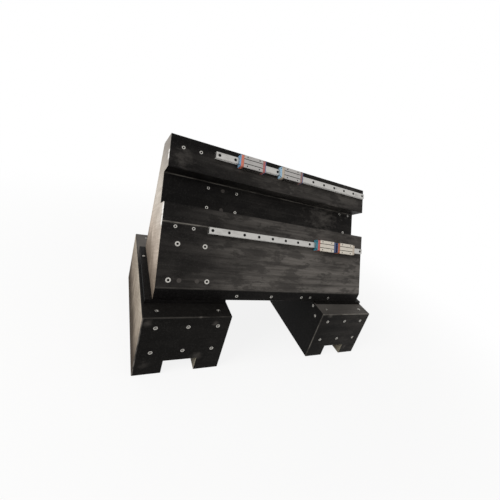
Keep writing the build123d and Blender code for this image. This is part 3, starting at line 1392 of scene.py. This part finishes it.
@dataclass
class Studio:
    """Camera, lamp, floor and white surroundings.

    Attributes:
        place: Where the camera stands.
        right: Its direction to the right.
        upward: Its direction up.
        back: Its direction away from the view.
        lens: Focal length in millimetres.
        shift: Shift of the frame along X and Y.
        room_light: Strength of the room's light on the stage.
        key_place: Where the lamp stands.
        key_size: Side of its square.
        key_power: Its power in watts.
        shadow_share: Share of the floor's shading that is kept near the stage.
    """

    place: Triple = (-0.61726, -1.13345, 0.87702)
    right: Triple = (0.82180, -0.46096, 0.33490)
    upward: Triple = (-0.10747, 0.45182, 0.88561)
    back: Triple = (-0.55955, -0.76379, 0.32177)
    lens: float = 21.587
    shift: tuple[float, float] = (-0.10916, -0.0024)
    room_light: float = 0.5
    key_place: Triple = (-3.4, -1.2, 2.2)
    key_size: float = 2.2
    key_power: float = 90.0
    shadow_share: float = 0.14

    def camera(self) -> None:
        """Stands the camera where the photograph was taken from."""
        data = bpy.data.cameras.new("camera")
        data.lens, data.sensor_width = self.lens, 36.0
        data.shift_x, data.shift_y = self.shift
        data.clip_start, data.clip_end = 0.01, 50.0
        camera = bpy.data.objects.new("camera", data)
        bpy.context.scene.collection.objects.link(camera)
        turn = Matrix((self.right, self.upward, self.back)).transposed().to_4x4()
        camera.matrix_world = Matrix.Translation(self.place) @ turn
        bpy.context.scene.camera = camera

    def lamp(self) -> None:
        """Adds one large soft lamp that looks at the middle of the stage."""
        data = bpy.data.lights.new("key_lamp", "AREA")
        data.size, data.energy = self.key_size, self.key_power
        lamp = bpy.data.objects.new("key_lamp", data)
        middle = Vector((0.0, 0.0, 0.35))
        turn = (middle - Vector(self.key_place)).to_track_quat("-Z", "Y").to_matrix().to_4x4()
        lamp.matrix_world = Matrix.Translation(self.key_place) @ turn
        bpy.context.scene.collection.objects.link(lamp)

    @staticmethod
    def seen(tree: Tree) -> Value:
        """Tells rays from the camera, off gloss and through clear pieces from the rest.

        Args:
            tree: The tree that asks.

        Returns:
            1 for those rays, otherwise 0.
        """
        rays = add_node(tree, "LightPath").outputs
        kinds = [Value(tree, rays[f"Is {kind} Ray"]) for kind in ("Camera", "Transmission", "Glossy")]
        return reduce(Value.larger, kinds)

    def surroundings(self) -> None:
        """White room: full white where it is seen, reflected or seen through, softer as light."""
        world = bpy.data.worlds.new("white_room")
        world.use_nodes = True
        tree = world.node_tree
        tree.nodes.clear()
        soft = add_node(tree, "Background", {"Color": (1, 1, 1, 1), "Strength": self.room_light})
        white = add_node(tree, "Background", {"Color": (1, 1, 1, 1), "Strength": 1.0})
        links = {0: self.seen(tree).socket, 1: soft.outputs[0], 2: white.outputs[0]}
        mixed = add_node(tree, "MixShader", links=links)
        add_node(tree, "OutputWorld", links={"Surface": mixed.outputs[0]})
        bpy.context.scene.world = world

    def floor(self) -> None:
        """A pale floor that keeps a soft shadow of the stage and turns to full white further out."""
        side, low, near, far = 12.0, -0.0005, 0.7, 2.2
        mesh = bpy.data.meshes.new("floor")
        corners = [(-side, -side, low), (side, -side, low), (side, side, low), (-side, side, low)]
        mesh.from_pydata(corners, [], [(0, 1, 2, 3)])
        paint = bpy.data.materials.new("pale_painted_floor")
        paint.use_nodes = True
        tree = paint.node_tree
        tree.nodes.clear()
        pale = add_node(tree, "BsdfDiffuse", {"Color": linear_colour("#f4f3f1")})
        white = add_node(tree, "Emission", {"Color": (1, 1, 1, 1), "Strength": 1.0})
        place = add_node(tree, "TexCoord").outputs["Object"]
        away = Value(tree, add_node(tree, "VectorMath", {"operation": "LENGTH"}, {0: place}).outputs[1])
        share = self.seen(tree) * (away.step(near, far, self.shadow_share) + (1.0 - self.shadow_share))
        links = {0: share.socket, 1: pale.outputs[0], 2: white.outputs[0]}
        mixed = add_node(tree, "MixShader", links=links)
        add_node(tree, "OutputMaterial", links={"Surface": mixed.outputs[0]})
        mesh.materials.append(paint)
        floor = bpy.data.objects.new("floor", mesh)
        bpy.context.scene.collection.objects.link(floor)

    def build(self) -> None:
        """Sets the whole studio."""
        self.camera()
        self.surroundings()
        self.floor()
        self.lamp()
        bpy.context.scene.view_settings.view_transform = "Standard"


@dataclass
class Stones:
    """The finishes of the granite pieces, each with its own dust, smears and worn edges.

    Attributes:
        face: The beam's leaning front.
        lapped: Roughness of a lapped face.
        level: Specular level of the dusty stone, which hardly shines.
    """

    face: LeaningFace
    lapped: float = 0.45
    level: float = 0.04

    def long_edge(self, rise: float, out: float, share: float) -> Triple:
        """Y, Z and share of wear of a long edge of the beam."""
        point = self.face.seat(0.0, rise, out).point
        return (point[1], point[2], share)

    def beam(self) -> Granite:
        """The beam: paler to the right with dust and painted sheen, less dust under the lower rail as painted
        shade, and a darker foot as painted shade.

        Returns:
            The finish.
        """
        low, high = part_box("cross_beam")
        # The darkest tones, at the lowest heights, paint shade at the foot of the beam's sawn ends.
        tones_with_foot_shade = ((0.25, "#665b50"), (0.31, "#85796d"), (0.39, "#bdb0a3"), (0.52, "#cbc3b9"))
        tones_with_foot_shade += ((0.62, "#b3aca3"), (0.68, "#9c9791"), (0.76, "#918c87"))
        # Dust by rise up the face; its drop from 0.8 to 0.5 just under the lower rail is painted shade.
        dust_and_shade_bands = ((-0.06, 0.05), (-0.003, 0.05), (0.006, 0.95), (0.16, 0.8), (0.2, 0.5), (0.28, 0.6))
        dust_and_shade_bands += ((0.295, 0.12), (0.4, 0.14), (0.41, 0.3), (0.46, 0.55), (0.5, 0.12), (0.53, 0.1))
        return Granite(
            "lapped_black_granite_beam",
            "#0c0b0b",
            self.lapped - 0.03,
            level=self.level,
            # Dust that grows to the right, and with it a painted sheen that brightens the beam on that side.
            along=Drift(-0.42, 0.0, 0.1, 0.66),
            spots=(
                (-0.415, -0.02, 0.69, 0.05, 0.22),
                (0.25, -0.02, 0.59, 0.13, 0.35),
                (0.35, 0.04, 0.7, 0.1, 0.3),
                (-0.12, 0.0, 0.665, 0.03, 0.2),
                (0.05, 0.005, 0.675, 0.06, 0.4),
                (0.36, 0.12, 0.6, 0.12, 0.5),
            ),
            worn=(
                self.long_edge(0.218, 0.003, 0.5),
                self.long_edge(0.406, -0.074, 0.35),
                self.long_edge(0.0, 0.0, 0.12),
            ),
            dust_and_shade_bands=dust_and_shade_bands,
            face_start=(self.face.start.y, self.face.start.z),
            sawn=Sawn(min(-low.x, high.x) - 0.5 * MM, tones_with_foot_shade, ((0.2, 0.284), (0.43, 0.47))),
        )

    @staticmethod
    def leg_sawn() -> Sawn:
        """The legs' sawn sides, dark at the foot as painted shade, and the walls of their grooves.

        Returns:
            The sawn sides.
        """
        low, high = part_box("left_leg")
        # The dark tones at the foot are painted shade.
        tones_with_foot_shade = ((0.0, "#342d27"), (0.06, "#463e36"), (0.13, "#8f8477"), (0.24, "#aba193"))
        return Sawn(-low.x - 0.5 * MM, tones_with_foot_shade, groove=-(low.x + high.x) / 2)

    def left_leg(self) -> Granite:
        """The left leg: wiped clean in front, dusty on top towards the back.

        Returns:
            The finish.
        """
        low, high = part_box("left_leg")
        return Granite(
            "lapped_black_granite_left_leg",
            "#0c0b0a",
            self.lapped,
            level=self.level,
            along=Drift(-0.7, 0.3, 0.01, 0.06),
            top=Drift(0.0, 0.2, 0.02, 0.6),
            spots=(
                (-0.258, -0.31, 0.208, 0.016, 0.3),
                (-0.472, -0.31, 0.214, 0.018, 0.2),
                (-0.292, -0.31, 0.06, 0.03, 0.2),
                (-0.462, -0.31, 0.045, 0.022, 0.14),
                (-0.315, -0.31, 0.235, 0.007, 0.35),
            ),
            worn=((low.y, high.z, 0.1),),
            posts=((low.x, low.y, 0.35),),
            sawn=self.leg_sawn(),
        )

    def right_leg(self) -> Granite:
        """The right leg: dusty in front and on top, with a light front edge.

        Returns:
            The finish.
        """
        low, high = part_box("right_leg")
        return Granite(
            "lapped_black_granite_right_leg",
            "#0b0a09",
            self.lapped,
            level=self.level,
            along=Drift(0.2, 0.45, 0.04, 0.12),
            top=Drift(-0.4, -0.25, 0.1, 0.42),
            spots=((0.42, -0.31, 0.035, 0.025, 0.3), (0.25, -0.31, 0.232, 0.02, 0.3)),
            worn=((low.y, high.z, 0.5),),
            posts=((low.x, low.y, 0.3),),
            sawn=self.leg_sawn(),
        )

    def pad(self) -> Granite:
        """The pads, which stay dark under the beam."""
        dust = Drift(0, 1, 0.02, 0.05)
        return Granite("lapped_black_granite_pad", "#0b0a0a", self.lapped, level=self.level, along=dust)


def main() -> None:
    """Builds the studio, the stone, the rails and the carriages in order."""
    logging.basicConfig(level=logging.INFO, format="%(message)s")
    Studio().build()
    face = LeaningFace()
    stones = Stones(face)
    pads = Pads()
    pads.build(stones.pad())
    Leg("left_leg").build(stones.left_leg())
    side_places = ((45 * MM, 195 * MM), (83 * MM, 223 * MM))
    Leg("right_leg", side_places=side_places).build(stones.right_leg())
    Beam(face).build(stones.beam())
    dress("hold_down_bolts", SCREW_BLACK)
    pads.set_screws()

    lower_rise, upper_rise = 206.5 * MM, 482.5 * MM
    rail_steel = GroundSteel("ground_rail_steel", "#b9b7b3", 0.36, 1.0)
    Rail("upper_rail", face, upper_rise).build(rail_steel)
    Rail("lower_rail", face, lower_rise).build(rail_steel)

    # One ground steel painted at two brightnesses as lit and shaded copies: lighter and warmer on the lower
    # carriages, darker on the upper.
    upper_steel_painted_darker, lower_steel_painted_lighter = "#a8a5a2", "#c6bfb3"
    places = (
        ("upper_left", 290.0, Look("#c8705a", "#a8605e", "#6a8fae", "#35629b")),
        ("upper_right", 466.0, Look("#bcae9c", "#8d6a66", "#8fb0c6", "#35629b")),
        ("lower_left", 668.0, Look("#bd5650", "#35466f", "#2f7486", "#35466f")),
        ("lower_right", 782.0, Look("#b0613c", "#c3b5a4", "#35466f", "#c0b6a8")),
    )
    for name, at, look in places:
        level = name.split("_")[0]
        rise, tone_with_painted_light = (upper_rise, upper_steel_painted_darker) if level == "upper" else (lower_rise, lower_steel_painted_lighter)
        carriage = Carriage(name, face, at * MM, rise, look)
        steel = GroundSteel(f"ground_{level}_carriage_steel_painted_light", tone_with_painted_light, 0.4, 1.0, grooves=carriage.groove_lines())
        carriage.build(steel)


if __name__ == "__main__":
    main()
